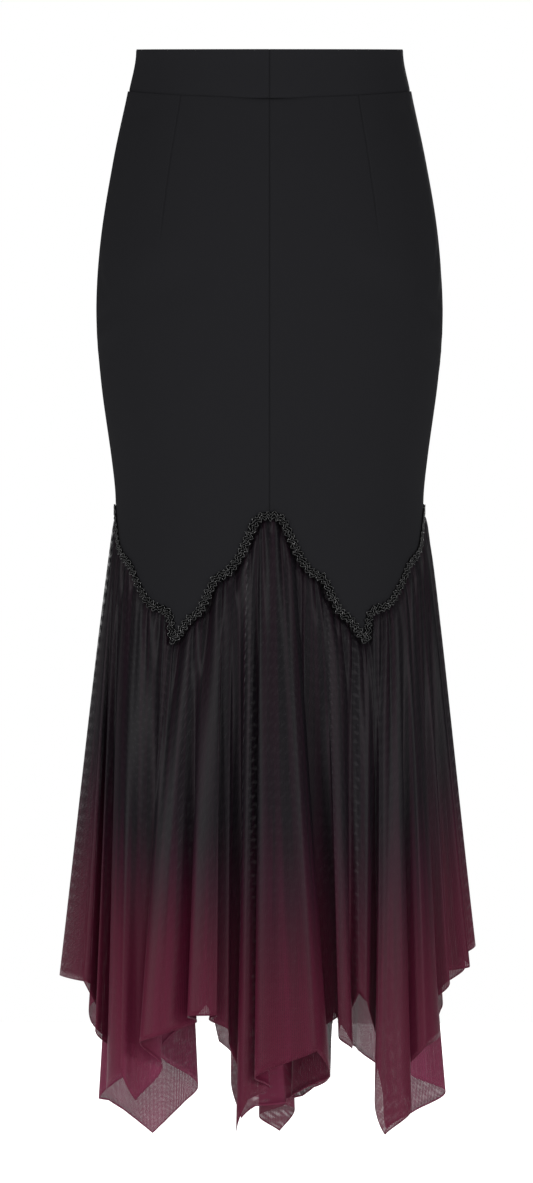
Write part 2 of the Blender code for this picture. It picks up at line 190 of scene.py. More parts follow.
CREASE_RIDGE_PLACE = 1.7  # of its width, from its middle

# -------------------- sizes of the braid
ZIGZAG_REACH = 1.70 * MM  # how far each cord swings from its own middle
ZIGZAG_PERIOD = 6.4 * MM
ZIGZAG_CORNER = 0.93  # nearer to 1 for sharper corners
BRAID_LIFT = 0.30 * MM  # how far it rises and sinks as it loops
BRAID_SEAT = 1.20 * MM  # height of the cords' middle over the body
CORDS = 3
CORD_PITCH = 2.75 * MM
CORD_RADIUS = 0.62 * MM
CORD_STEP = 0.70 * MM
CORD_SIDES = 6
CORD_TWIST = 2.0 * MM
BRAID_SMOOTHING = 2.4 * MM  # over which the braid rounds the edge's corners
Wobble = namedtuple("Wobble", "waves size")  # waves round the skirt, and share of the swing
BRAID_WOBBLES = [Wobble(37, 0.16), Wobble(91, 0.16), Wobble(153, 0.12)]
WOBBLE_LAG = 0.7  # radians, from one cord to the next
WOBBLE_AHEAD = 2  # radians by which a wobble moves the zigzag along

# The flat tape that carries the cords, near-black to paint the shade in the gaps between them, in section:
# shares of its half width and of its lift
CORE_HALF_WIDTH = 3.6 * MM
CORE_LIFT = 0.45 * MM
CORE_STEP = 4 * CORD_STEP
Rib = namedtuple("Rib", "across lift")
CORE_RIBS = [Rib(-1.0, 0.2), Rib(-0.9, 1.0), Rib(0.9, 1.0), Rib(1.0, 0.2)]

# -------------------- sizes of the flounce
FLOUNCE_LAP = 4.0 * MM
LAP_GAP = 1.0 * MM
SOFT_START = 0.04  # share of the length over which it swings from hanging straight to flaring
PUFF = 3.4 * MM  # how far it stands out from a straight line, most a third of the way down
PUFF_POWER = 0.65
HELD_REACH = 0.025  # the cloth hangs straight down to the edge's lowest place within this many turns
HELD_SAMPLES = 11
SHEET_DEPTH = 0.5 * MM  # the mesh runs in the middle of its solid's wall
COLUMNS_PER_FOLD = 10
FLOUNCE_ROWS = 92
ROW_SPACING = 1.25  # above 1, the rows are closer at the top
WEAVE_ROW = int(0.6 * FLOUNCE_ROWS)  # whose lengths place the weave across the cloth
HEM_TURN_UP = 1.8 * MM
HEM_THICKNESS = 0.35 * MM

# The edges of the folds: the turn where each leaves the scalloped edge, and its place at the hem
Fold = namedtuple("Fold", "turn across depth drop")
FRONT_FOLDS = [
    Fold(-1.0, -0.2015, -0.004, 0.887),
    Fold(-0.95, -0.176, -0.066, 0.888),
    Fold(-0.91, -0.16, -0.055, 0.925),
    Fold(-0.87, -0.164, -0.087, 0.934),
    Fold(-0.84, -0.146, -0.075, 0.955),
    Fold(-0.8, -0.153, -0.106, 0.986),
    Fold(-0.72, -0.139, -0.131, 0.968),
    Fold(-0.63, -0.125, -0.128, 0.994),
    Fold(-0.56, -0.1005, -0.121, 0.964),
    Fold(-0.5, -0.121, -0.148, 0.938),
    Fold(-0.44, -0.103, -0.156, 0.931),
    Fold(-0.39, -0.086, -0.15, 0.926),
    Fold(-0.36, -0.068, -0.139, 0.92),
    Fold(-0.32, -0.076, -0.162, 0.912),
    Fold(-0.24, -0.049, -0.167, 0.911),
    Fold(-0.215, -0.056, -0.149, 0.917),
    Fold(-0.19, -0.039, -0.151, 0.925),
    Fold(-0.17, -0.037, -0.139, 0.942),
    Fold(-0.15, -0.024, -0.134, 0.978),
    Fold(-0.13, -0.026, -0.148, 1.0),
    Fold(-0.11, -0.031, -0.161, 1.019),
    Fold(-0.085, -0.02, -0.165, 0.989),
    Fold(-0.065, 0, -0.149, 0.98),
    Fold(-0.045, -0.014, -0.175, 0.968),
    Fold(0.01, 0.012, -0.182, 0.955),
    Fold(0.075, 0.0435, -0.176, 0.943),
    Fold(0.13, 0.0555, -0.152, 0.97),
    Fold(0.16, 0.034, -0.139, 0.981),
    Fold(0.19, 0.02, -0.124, 0.994),
    Fold(0.22, 0.043, -0.12, 0.93),
    Fold(0.25, 0.066, -0.131, 0.913),
    Fold(0.29, 0.064, -0.145, 0.934),
    Fold(0.33, 0.077, -0.139, 0.945),
    Fold(0.38, 0.075, -0.123, 0.915),
    Fold(0.43, 0.083, -0.13, 0.894),
    Fold(0.48, 0.091, -0.131, 0.902),
    Fold(0.51, 0.101, -0.117, 0.944),
    Fold(0.55, 0.0975, -0.148, 0.997),
    Fold(0.6, 0.107, -0.154, 1.023),
    Fold(0.64, 0.132, -0.138, 1.003),
    Fold(0.67, 0.123, -0.117, 0.972),
    Fold(0.72, 0.145, -0.122, 0.945),
    Fold(0.77, 0.16, -0.098, 0.936),
    Fold(0.81, 0.15, -0.08, 0.91),
    Fold(0.85, 0.17, -0.078, 0.89),
    Fold(0.89, 0.164, -0.054, 0.88),
    Fold(0.93, 0.19, -0.048, 0.876),
    Fold(0.97, 0.182, -0.024, 0.866),
]
BACK_FOLDS = [
    Fold(1.0, 0.198, 0.002, 0.859),
    Fold(1.05, 0.182, 0.028, 0.874),
    Fold(1.1, 0.19, 0.058, 0.886),
    Fold(1.15, 0.168, 0.048, 0.902),
    Fold(1.2, 0.1675, 0.08, 0.928),
    Fold(1.25, 0.137, 0.082, 0.99),
    Fold(1.3, 0.173, 0.1, 1.01),
    Fold(1.36, 0.141, 0.13, 1.034),
    Fold(1.42, 0.116, 0.146, 1.052),
    Fold(1.46, 0.112, 0.124, 1.015),
    Fold(1.5, 0.1045, 0.108, 0.983),
    Fold(1.56, 0.09, 0.128, 0.974),
    Fold(1.61, 0.083, 0.152, 0.97),
    Fold(1.66, 0.064, 0.138, 0.934),
    Fold(1.72, 0.0605, 0.163, 1.002),
    Fold(1.76, 0.055, 0.132, 1.004),
    Fold(1.81, 0.044, 0.138, 1.01),
    Fold(1.86, 0.033, 0.171, 1.022),
    Fold(1.9, 0.013, 0.158, 1.026),
    Fold(1.95, 0.0255, 0.177, 1.036),
    Fold(1.99, 0.01, 0.182, 1.058),
    Fold(2.04, -0.0105, 0.176, 1.042),
    Fold(2.08, 0.0165, 0.147, 1.026),
    Fold(2.13, -0.014, 0.15, 1.03),
    Fold(2.18, -0.028, 0.17, 1.044),
    Fold(2.22, -0.038, 0.158, 1.01),
    Fold(2.27, -0.037, 0.132, 0.975),
    Fold(2.32, -0.05, 0.156, 0.966),
    Fold(2.36, -0.063, 0.139, 0.928),
    Fold(2.4, -0.108, 0.11, 0.972),
    Fold(2.45, -0.071, 0.15, 1.008),
    Fold(2.5, -0.088, 0.156, 1.03),
    Fold(2.54, -0.104, 0.148, 1.045),
    Fold(2.58, -0.116, 0.146, 1.056),
    Fold(2.62, -0.132, 0.14, 1.042),
    Fold(2.66, -0.144, 0.12, 1.03),
    Fold(2.7, -0.158, 0.112, 1.02),
    Fold(2.75, -0.167, 0.098, 1.016),
    Fold(2.79, -0.138, 0.092, 0.99),
    Fold(2.83, -0.114, 0.09, 0.972),
    Fold(2.87, -0.164, 0.07, 0.95),
    Fold(2.91, -0.176, 0.06, 0.926),
    Fold(2.94, -0.164, 0.044, 0.906),
    Fold(2.97, -0.186, 0.032, 0.892),
]

# Gathers: the cloth swells out from under the braid, and narrow valleys part it from there on
HEADING = 4.2 * MM
HEADING_RIGHT = 2.6 * MM  # more at the +X side seam
HEADING_LENGTH = 6 * MM
GATHERS_PER_FOLD = 1.25
GATHER_JITTER = 0.36  # of the distance between two
GATHER_DEPTH = 3.9 * MM
GATHER_DEPTH_SHARES = (0.35, 1.3)
GATHER_HALF_WIDTH = 2.2 * MM
GATHER_SPREAD = 3.2 * MM  # which that gains by a gather's end
GATHER_SHORTEST = 0.022
GATHER_LONGEST = 0.190
GATHER_SHORTNESS = 2.2  # above 1, more of them are short
GATHER_DRIFT = 5 * MM
GATHER_SIDE_POWER = 1.4  # how suddenly its sides fall
GATHER_END_POWER = 1.6
GATHER_SEED = 7

# The dye goes from black to burgundy down the flounce, a little sooner at the side seams, and painted
# light deep in folds and on the back's outer hem points is added to its strength
DYE_START = 0.722
DYE_SIDE_LEAD = 0.072
DYE_SIDE_POWER = 14  # how close to the side seams that lead is kept
DYE_LENGTH = 0.231
DYE_LEFT_START = (0.15, 0.35)  # turns on the -X side of the front, where it comes later but steeper
DYE_LEFT_END = (0.70, 0.92)
DYE_LEFT_DELAY = 0.013
DYE_LEFT_GAIN = 0.50
BACK_TIP_PAINTED_LIGHT = 0.70  # painted light: the back's outer hem points, which hang single and let light through, are pushed further towards a lighter burgundy
CENTRE_REACH = (0.22, 0.36)  # turns from the centre back, over which the outer hem points begin
BACK_TIP_DROP = (0.870, 0.980)
HOLLOW_PAINTED_LIGHT = 0.40  # painted light: deep in a fold the colour is pushed further towards burgundy, standing in for light that comes through the mesh on either side
HOLLOW_PAINTED_LIGHT_START = (0.1, 0.6)  # of the dye's length, over which that painted light in the hollows sets in
HOLLOW_REACH = 15  # columns on either side, from whose mean distance the hollow is measured
HOLLOW_DEPTH = 14 * MM

# How open the mesh looks: close where gathers lie over each other, sheer near the hem and the side seams
BACK_SHEERNESS = 0.70
CENTRE_SHEERNESS = 0.15  # of the back's middle, where its folds lie over each other
FRONT_SHEERNESS = 0.10
SHEER_DROP = (0.80, 1.00)  # from close to sheer
SHEER_SIDE = (0.056, 0.14)  # turns on either side of a side seam, from sheer to close

# Where two layers lie close, their rows of holes meet in rows of light ticks, which come in strips. The
# ticks are painted light: a light colour added to the mesh's base where light would show through both
# layers' holes, together with a real opening of the mesh. Each strip begins at its starting drop.
Strip = namedtuple("Strip", "turn half_width start strength")
TICK_STRIPS = [
    Strip(-1.0, 0.02, 0.4, 0.6),
    Strip(-0.4, 0.012, 0.4, 0.12),
    Strip(-0.112, 0.004, 0.4, 0.6),
    Strip(0.285, 0.011, 0.4, 0.16),
    Strip(0.42, 0.014, 0.4, 0.16),
    Strip(0.6, 0.03, 0.97, 0.2),
    Strip(1.0, 0.014, 0.4, 0.34),
    Strip(1.31, 0.05, 0.92, 0.14),
    Strip(1.45, 0.016, 0.4, 0.3),
    Strip(1.93, 0.15, 0.96, 0.26),
    Strip(2.12, 0.014, 0.4, 0.5),
    Strip(2.43, 0.05, 0.94, 0.22),
]
TICK_FADE = 0.03  # metres over which a strip starts
TICKS_ALL_OVER = 0.05
TickWave = namedtuple("TickWave", "direction pitch unevenness")  # a tick shows where both waves are high
TICK_WAVES = [TickWave("DIAGONAL", 3.6 * MM, 1.2), TickWave("Y", 11.0 * MM, 3.2)]
TICK_SOFTNESS = 0.2
TICK_START = 0.2  # of the waves' height

# -------------------- camera, floor and light
CAMERA_DISTANCE = 4.5
CAMERA_X = -0.0029
CAMERA_Z = -0.5192
FRAME_HEIGHT = 1.13568  # of the picture, at the skirt's axis
SENSOR = 36.0
FLOOR_BELOW_HEM = 0.06
FLOOR_SIZE = 4.0
FLOOR_GLOW = 0.75
ROOM_LIGHT = 0.25  # of the white that the camera sees
Lamp = namedtuple("Lamp", "name place size power")
LAMPS = [
    Lamp("key_light", (-2.7, -2.7, 0.5), 1.2, 77),
    Lamp("fill_light", (2.9, -2.5, 0.3), 1.2, 63),
    Lamp("front_light", (0.4, -4.4, 0.3), 2.0, 39),
    Lamp("back_light", (0.6, 3.4, 0.9), 1.6, 90),
]


def unit(vectors):
    return vectors / np.linalg.norm(vectors, axis=-1, keepdims=True)


def smooth_steps(keys, values, at):
    """Values at the given places on a smooth curve through (keys, values), level at both ends."""
    keys, values = np.asarray(keys, float), np.asarray(values, float)
    slopes = np.zeros_like(values)
    slopes[1:-1] = (values[2:] - values[:-2]) / (keys[2:] - keys[:-2])
    at = np.clip(np.asarray(at, float), keys[0], keys[-1])
    i = np.clip(np.searchsorted(keys, at, side="right") - 1, 0, len(keys) - 2)
    width = keys[i + 1] - keys[i]
    t = (at - keys[i]) / width
    return (
        values[i] * (2 * t**3 - 3 * t**2 + 1)
        + slopes[i] * width * (t**3 - 2 * t**2 + t)
        + values[i + 1] * (3 * t**2 - 2 * t**3)
        + slopes[i + 1] * width * (t**3 - t**2)
    )


def smooth_share(value, start, end):
    """0 up to the start, 1 from the end on, and a smooth rise between them."""
    share = np.clip((value - start) / (end - start), 0, 1)
    return share * share * (3 - 2 * share)


def dip(distance, width):
    """1 at no distance, falling smoothly to nearly 0 at twice the width."""
    return np.exp(-((distance / width) ** 2))


# -------------------- the fitted form


def oval_angle(turn):
    """The angle on the oval at a turn, in radians from the centre front."""
    return turn * math.pi / 2 - EVEN_COLUMNS * np.sin(turn * math.pi)


def body_point(turn, drop):
    """Points on the outside of the fitted body."""
    drops, *sizes = zip(*LEVELS)
    half_width, front, back = (smooth_steps(drops, size, drop) for size in sizes)
    angle = oval_angle(turn)
    x = half_width * np.sin(angle)
    y = -np.where(np.cos(angle) > 0, front, back) * np.cos(angle)
    return np.stack([x, y, -drop + WAIST_TILT * y], axis=-1)


def body_normal(turn, drop):
    """The outward directions of the fitted body."""
    step = 1e-4
    round_it = body_point(turn + step, drop) - body_point(turn - step, drop)
    down = body_point(turn, drop + step) - body_point(turn, drop - step)
    return unit(np.cross(down, round_it))


def inside_body(turn, drop, inset):
    """Points this far in from the outside of the fitted body."""
    return body_point(turn, drop) - np.asarray(inset)[..., None] * body_normal(turn, drop)


def band_depth(turn):
    return BAND_DEPTH_SIDE + BAND_DEPTH_EXTRA * np.cos(oval_angle(turn)) ** 2


def edge_drop(turn):
    """The drop of the scalloped edge: a peak at each whole turn and a tip between each two."""
    centre = 2 * np.round(turn / 2)
    away = np.abs(turn - centre)
    by_centre = away < TIP_TURN
    nearest = np.where(by_centre, centre, centre + np.sign(turn - centre)).astype(int)
    from_centre = smooth_steps(*zip(*FALLS_FROM_CENTRE), away / TIP_TURN)
    from_side = smooth_steps(*zip(*FALLS_FROM_SIDE), (1 - away) / (1 - TIP_TURN))
    peak = np.asarray(PEAK_DROPS)[nearest % 4]
    return peak + (TIP_DROP - peak) * np.where(by_centre, from_centre, from_side)


def lowest_edge(turn):
    """The drop of the edge's lowest place near a turn."""
    steps = np.linspace(-HELD_REACH, HELD_REACH, HELD_SAMPLES)
    return np.max([edge_drop(turn + step) for step in steps], axis=0)


def centre_distance(turn):
    """How far a place is from the nearest centre, in turns, from 0 to 1."""
    return np.abs(turn - 2 * np.round(turn / 2))


def from_centre_front(turn):
    """The turn counted from the centre front, from -2 to 2."""
    return (turn + 2) % 4 - 2


def dart_turn(drop):
    """How far the dart is from its centre at a drop, in turns."""
    share = np.clip(drop / DART_END_DROP, 0, 1)
    return DART_TOP_TURN + (DART_END_TURN - DART_TOP_TURN) * share


def seam_roll(turn, seams):
    """How far the cloth turns in at vertical seams."""
    away = np.min([np.abs(turn - seam) for seam in seams], axis=0) * QUARTER_GIRTH
    return SEAM_ROLL * dip(away, SEAM_ROLL_WIDTH)


def dart_dip(turn, drop):
    away = (centre_distance(turn) - dart_turn(drop)) * QUARTER_GIRTH
    strength = np.clip((DART_END_DROP - drop) / DART_FADE, 0, 1)
    return DART_DEPTH * strength * dip(away, DART_HALF_WIDTH)


def crease_dip(crease, turn, drop):
    """How far one crease presses the cloth in: a soft trough along a line, with tapered ends."""
    around = from_centre_front(turn)
    side = np.where(around < 0, LEFT, RIGHT)
    start = np.array([crease.turn * QUARTER_GIRTH, crease.drop])
    run = np.array([crease.end_turn * QUARTER_GIRTH, crease.end_drop]) - start
    length = np.linalg.norm(run)
    run = run / length
    x, y = np.abs(around) * QUARTER_GIRTH - start[0], drop - start[1]
    along = (x * run[0] + y * run[1]) / length
    arch = np.sin(math.pi * np.clip(along, 0, 1))
    across = -x * run[1] + y * run[0] + CREASE_BOW * length * arch
    on_side = (side == crease.side) | (crease.side == BOTH)
    ridge = dip(across - CREASE_RIDGE_PLACE * crease.width, crease.width)
    trough = dip(across, crease.width) - CREASE_RIDGE * ridge
    return np.where(on_side, crease.depth * arch**CREASE_TAPER * trough, 0.0)


def band_shadow(turn, drop):
    """The body's top edge sinks under the band round the centre front."""
    at_front = np.abs(from_centre_front(turn)) < 1
    near = dip(centre_distance(turn) * QUARTER_GIRTH, BAND_SHADOW_REACH) * at_front
    return BAND_SHADOW_DEPTH * near * dip(drop - band_depth(turn), BAND_SHADOW_HEIGHT)


def slow_waves(turn, drop):
    """Unevenness of hanging cloth, too slow to be a crease, for a height of 1."""
    long, cross, fine = (
        np.sin(turn * ripple.around + drop * ripple.down + ripple.start)
        for ripple in (LONG_RIPPLE, CROSS_RIPPLE, FINE_RIPPLE)
    )
    return long * cross + FINE_RIPPLE_SHARE * fine


def body_relief(turn, drop, seams):
    """How far the fitted body's cloth lies in from its smooth form."""
    relief = seam_roll(turn, seams) + dart_dip(turn, drop) + band_shadow(turn, drop)
    for crease in CREASES:
        relief = relief + crease_dip(crease, turn, drop)
    return relief + BODY_RIPPLE_HEIGHT * slow_waves(turn, drop)


# -------------------- meshes


def add_object(name, points, faces, coordinates, surface):
    """A smooth mesh, with a map in metres of cloth for its weave."""
    mesh = bpy.data.meshes.new(name)
    mesh.from_pydata(np.asarray(points).reshape(-1, 3).tolist(), [], faces.tolist())
    made = bpy.data.objects.new(name, mesh)
    bpy.context.scene.collection.objects.link(made)
    corners = np.empty(len(mesh.loops), np.int32)
    mesh.loops.foreach_get("vertex_index", corners)
    weave = mesh.uv_layers.new(name="Weave")
    weave.uv.foreach_set("vector", np.asarray(coordinates, np.float32).reshape(-1, 2)[corners].ravel())
    mesh.materials.append(surface)
    mesh.shade_smooth()
    return made


def grid_faces(rows, columns, first=0, flip=False):
    """Quads of a grid of points whose rows go down and whose columns go towards a rising turn."""
    every = first + np.arange(rows * columns).reshape(rows, columns)
    above = every[:-1, :-1].ravel()
    quads = np.stack([above, above + columns, above + columns + 1, above + 1], axis=1)
    return quads[:, ::-1] if flip else quads


def rim_faces(rows, columns):
    """Quads that close the edges between an outer grid and an inner one that follows it."""
    top = np.arange(columns)
    right = columns - 1 + columns * np.arange(1, rows)
    bottom = (rows - 1) * columns + np.arange(columns - 2, -1, -1)
    left = columns * np.arange(rows - 2, 0, -1)
    rim = np.concatenate([top, right, bottom, left])
    ahead = np.roll(rim, -1)
    behind = rows * columns
    return np.stack([rim, ahead, behind + ahead, behind + rim], axis=1)


def add_wall(name, outside, inside, turn, drop, surface):
    """A closed wall of cloth between two grids of points at these turns and drops."""
    rows, columns = outside.shape[:2]
    inner = grid_faces(rows, columns, rows * columns, flip=True)
    faces = np.concatenate([grid_faces(rows, columns), inner, rim_faces(rows, columns)])
    both = np.concatenate([outside, inside])
    coordinates = np.stack([turn * QUARTER_GIRTH, drop], axis=-1)
    return add_object(name, both, faces, np.concatenate([coordinates, coordinates]), surface)


def lengths_along(grid, axis):
    """Length of the cloth from the grid's first row or column to each point."""
    steps = np.linalg.norm(np.diff(grid, axis=axis), axis=-1)
    start = np.zeros_like(np.take(steps, [0], axis=axis))
    return np.cumsum(np.concatenate([start, steps], axis=axis), axis=axis)


# -------------------- waistband and body


def quarter_columns(darts):
    """Places across a quarter from its centre, 0 to 1, with extra ones at seams and darts."""
    close = np.asarray(CLOSE_COLUMNS) / QUARTER_GIRTH
    places = [np.linspace(0, 1, COLUMNS_PER_QUARTER + 1), close, 1 - close]
    if darts:
        places += [[DART_TOP_TURN], DART_TOP_TURN + close, DART_TOP_TURN - close]
    return np.unique(np.round(np.concatenate(places), PLACE_DIGITS))


def panel_columns(first, last, darts):
    """Columns of a panel from one whole turn to another, as (centre, side, share of the quarter)."""
    columns = []
    for quarter in range(first, last):
        shares = quarter_columns(darts)
        if quarter % 2 == 0:
            columns += [(quarter, 1, share) for share in shares]
        else:
            columns += [(quarter + 1, -1, share) for share in shares[::-1]]
    centre, side, share = np.array(columns).T
    turns = centre + side * share
    is_new = np.diff(turns, prepend=turns[0] - 1) > 10**-PLACE_DIGITS
    return np.array(columns)[is_new]


def panel_turns(columns, drop, first, last):
    """The turns of a panel's columns at a drop: they follow the darts, and end at the seams."""
    centre, side, share = columns.T
    moved = np.interp(share, [0, DART_TOP_TURN, 1], [0, dart_turn(drop), 1])
    return np.clip(centre + side * moved, first, last)


def add_waistband(name, first, last, surface):
    """A shaped band from the waist down to the body's seam, with a rolled top edge."""
    columns = panel_columns(first, last, darts=False)
    share = (1 - np.cos(np.linspace(0, math.pi, BAND_ROWS))) / 2
    turn, share = np.meshgrid(columns[:, 0] + columns[:, 1] * columns[:, 2], share)
    drop = share * (band_depth(turn) + BAND_RISE) - BAND_RISE
    edge = np.minimum(drop + BAND_RISE, band_depth(turn) - drop)
    roll = BAND_ROLL * dip(edge, BAND_ROLL_WIDTH) + seam_roll(turn, (first, last))
    outside = inside_body(turn, drop, BAND_INSET + roll + BAND_RIPPLE_HEIGHT * slow_waves(turn, drop))
    roll_inside = BAND_ROLL_INSIDE * dip(edge, BAND_ROLL_WIDTH)
    inside = inside_body(turn, drop, BAND_INSET + BAND_WALL - roll_inside)
    piece = add_wall(name, outside, inside, turn, drop, surface)
    return piece


def add_body_panel(name, first, last, surface):
    """A fitted panel from the waistband down to the scalloped edge, with its darts and creases."""
    columns = panel_columns(first, last, darts=True)
    rows = []
    shares = np.concatenate([np.linspace(0, 1, BODY_ROWS), np.asarray(CLOSE_ROWS) / TIP_DROP])
    for share in np.sort(shares):
        turn = panel_turns(columns, share * TIP_DROP, first, last)
        drop = band_depth(turn) + (edge_drop(turn) - band_depth(turn)) * share
        # A row's columns follow the darts at its mean drop, which its first columns give
        turn = panel_turns(columns, np.clip(drop, 0, DART_END_DROP).mean(), first, last)
        rows.append(np.stack([turn, drop]))
    turn, drop = np.stack(rows, axis=1)
    relief = body_relief(turn, drop, (first, last))
    outside = inside_body(turn, drop, relief)
    inside = inside_body(turn, drop, BODY_WALL + INSIDE_RELIEF * relief)
    piece = add_wall(name, outside, inside, turn, drop, surface)
    body_point(turn[:1], np.full_like(turn[:1], HIP_DROP))
    return piece


# -------------------- braid


def smoothed(line, width, step):
    """A closed line of points, averaged over about this width."""
    reach = int(3 * width / step)
    weights = np.exp(-0.5 * (np.arange(-reach, reach + 1) * step / width) ** 2)
    weights /= weights.sum()
    return sum(weight * np.roll(line, k - reach, axis=0) for k, weight in enumerate(weights))


def along_closed(values, places, count):
    """Values at evenly spaced places round a closed line."""
    at = np.arange(count) * places[-1] / count
    return np.stack([np.interp(at, places, column) for column in values.T], axis=1)


def edge_line(step):
    """The scalloped edge: evenly spaced points, the body's outward direction at each, and the length."""
    turn = np.linspace(0, 4, EDGE_SAMPLES)
    drop = edge_drop(turn)
    line, facing = body_point(turn, drop), body_normal(turn, drop)
    places = np.concatenate([[0], np.cumsum(np.linalg.norm(np.diff(line, axis=0), axis=1))])
    count = int(round(places[-1] / step))
    line, facing = (along_closed(values, places, count) for values in (line, facing))
    return smoothed(line, BRAID_SMOOTHING, step), unit(smoothed(facing, BRAID_SMOOTHING, step)), places[-1]


def closed_tube(line, facing, radius, sides):
    """Points and quads of a tube round a closed line."""
    ahead = unit(np.roll(line, -1, axis=0) - np.roll(line, 1, axis=0))
    up = unit(facing - np.sum(facing * ahead, axis=1, keepdims=True) * ahead)
    side = np.cross(ahead, up)
    angles = np.arange(sides) * 2 * math.pi / sides
    ring = np.cos(angles)[:, None] * up[:, None] + np.sin(angles)[:, None] * side[:, None]
    points = (line[:, None] + radius * ring).reshape(-1, 3)
    here = np.arange(len(line) * sides).reshape(-1, sides)
    beside = np.roll(here, -1, axis=1)
    quads = np.stack([here, beside, np.roll(beside, -1, axis=0), np.roll(here, -1, axis=0)], axis=-1)
    return points, quads.reshape(-1, 4)


def edge_down(line, facing):
    """The directions on the body square to the edge, away from the waist."""
    ahead = unit(np.roll(line, -1, axis=0) - np.roll(line, 1, axis=0))
    return unit(np.cross(ahead, facing))


def cord_line(cord, line, facing, share, length):
    """The middle of one cord: an uneven zigzag, which nests in the next cord's."""
    wobbles = [w.size * np.sin(2 * math.pi * w.waves * share + cord * WOBBLE_LAG) for w in BRAID_WOBBLES]
    uneven = sum(wobbles)
    phase = 2 * math.pi * round(length / ZIGZAG_PERIOD) * share + WOBBLE_AHEAD * uneven
    zigzag = np.arcsin(ZIGZAG_CORNER * np.sin(phase)) / math.asin(ZIGZAG_CORNER)
    across = (cord - (CORDS - 1) / 2) * CORD_PITCH + ZIGZAG_REACH * (1 + uneven) * zigzag
    lift = BRAID_SEAT + BRAID_LIFT * np.sin(2 * phase + cord * math.pi)
    return line + across[:, None] * edge_down(line, facing) + lift[:, None] * facing


def add_braid(name, surface):
    """Looped gimp: cords in nested zigzags, side by side, sewn on the scalloped edge."""
    line, facing, length = edge_line(CORD_STEP)
    share = np.arange(len(line)) / len(line)
    points, faces, coordinates = [], [], []
    for cord in range(CORDS):
        middle = cord_line(cord, line, facing, share, length)
        ring_points, quads = closed_tube(middle, facing, CORD_RADIUS, CORD_SIDES)
        faces.append(quads + cord * len(ring_points))
        points.append(ring_points)
        around = np.tile(np.arange(CORD_SIDES) / CORD_SIDES * 2 * math.pi * CORD_RADIUS, len(line))
        coordinates.append(np.stack([around, np.repeat(share * length, CORD_SIDES)], axis=1))
    points, faces, coordinates = (np.concatenate(of_cords) for of_cords in (points, faces, coordinates))
    return add_object(name, points, faces, coordinates, surface)


def add_braid_shade_tape(name, surface):
    """The dull flat near-black tape under the cords, which paints the shade in the gaps between them."""
    line, facing, length = edge_line(CORE_STEP)
    rows, lifts = np.array(CORE_RIBS).T * [[CORE_HALF_WIDTH], [CORE_LIFT]]
    grid = line + rows[:, None, None] * edge_down(line, facing) + lifts[:, None, None] * facing
    grid = np.concatenate([grid, grid[:, :1]], axis=1)
    along = np.arange(grid.shape[1]) * length / len(line)
    coordinates = np.stack(np.broadcast_arrays(along[None], rows[:, None]), axis=-1)
    return add_object(name, grid, grid_faces(*grid.shape[:2]), coordinates, surface)


# -------------------- flounce


def fold_place(at):
    """The turn at the top and the point at the hem, this many fold edges round the flounce."""
    folds = np.array(FRONT_FOLDS + BACK_FOLDS)
    count = len(folds)
    first = np.floor(at).astype(int)
    t = (at - first)[..., None]
    a, b, c, d = (folds[(first + k) % count, 1:3] for k in (-1, 0, 1, 2))
    plan = b + 0.5 * t * (c - a + t * (2 * a - 5 * b + 4 * c - d + t * (3 * b - a - 3 * c + d)))
    start, end = folds[first % count], folds[(first + 1) % count]
    turn = start[..., 0] + (end[..., 0] - start[..., 0]) % 4 * t[..., 0]
    drop = start[..., 3] + (end[..., 3] - start[..., 3]) * t[..., 0]
    return turn, np.concatenate([plan, -drop[..., None]], axis=-1)


def gathers(across, below, girth, seed):
    """How far uneven narrow valleys sink the cloth, from the braid down to where they fade out."""
    chance = np.random.default_rng(seed)
    count = int(GATHERS_PER_FOLD * (len(FRONT_FOLDS) + len(BACK_FOLDS)) / 2)
    down = np.clip(below, 0, None)
    sunk = np.zeros_like(across)
    for k in range(count):
        middle = (k + 0.5 + chance.uniform(-GATHER_JITTER, GATHER_JITTER)) * girth / count
        depth = GATHER_DEPTH * chance.uniform(*GATHER_DEPTH_SHARES)
        longer = chance.uniform(0, 1) ** GATHER_SHORTNESS
        length = GATHER_SHORTEST + (GATHER_LONGEST - GATHER_SHORTEST) * longer
        drift = GATHER_DRIFT * chance.uniform(-1, 1)
        gone = down / length
        width = GATHER_HALF_WIDTH + GATHER_SPREAD * np.clip(gone, 0, 1)
        away = np.abs(across - middle - drift * np.clip(gone, 0, 1)) / width
        sunk += depth * np.exp(-(away**GATHER_SIDE_POWER)) * np.exp(-(gone**GATHER_END_POWER))
    return sunk


def flounce_grid(first, last):
    """Points of the cloth from one fold's edge to another's, in rows down, and their turns."""
    at = np.linspace(first, last, COLUMNS_PER_FOLD * (last - first) + 1)
    share = np.linspace(0, 1, FLOUNCE_ROWS) ** ROW_SPACING
    share, at = np.meshgrid(share, at, indexing="ij")
    turn, hem = fold_place(at)
    edge = edge_drop(turn)
    top = inside_body(turn, edge - FLOUNCE_LAP, BODY_WALL + LAP_GAP + SHEET_DEPTH)
    length = top[..., 2] - hem[..., 2]
    held = FLOUNCE_LAP + lowest_edge(turn) - edge
    free = np.clip((share * length - held) / (length - held), 0, 1)
    swing = free**2 / (free + SOFT_START) * (1 + SOFT_START)
    point = top + (hem - top) * np.stack([swing, swing, share], axis=-1)
    below = share * length - FLOUNCE_LAP
    heading = HEADING + HEADING_RIGHT * np.clip(np.sin(oval_angle(turn)), 0, 1) ** 2
    reached = 1 - np.exp(-np.clip(share * length - held, 0, None) / HEADING_LENGTH)
    heading = heading * reached * (1 - share) ** 2
    sunk = gathers((turn - turn[0, 0]) * QUARTER_GIRTH, below, 2 * QUARTER_GIRTH, GATHER_SEED + first)
    push = heading + PUFF * np.sin(math.pi * free**PUFF_POWER) - sunk
    return point + push[..., None] * body_normal(turn, edge - FLOUNCE_LAP), turn


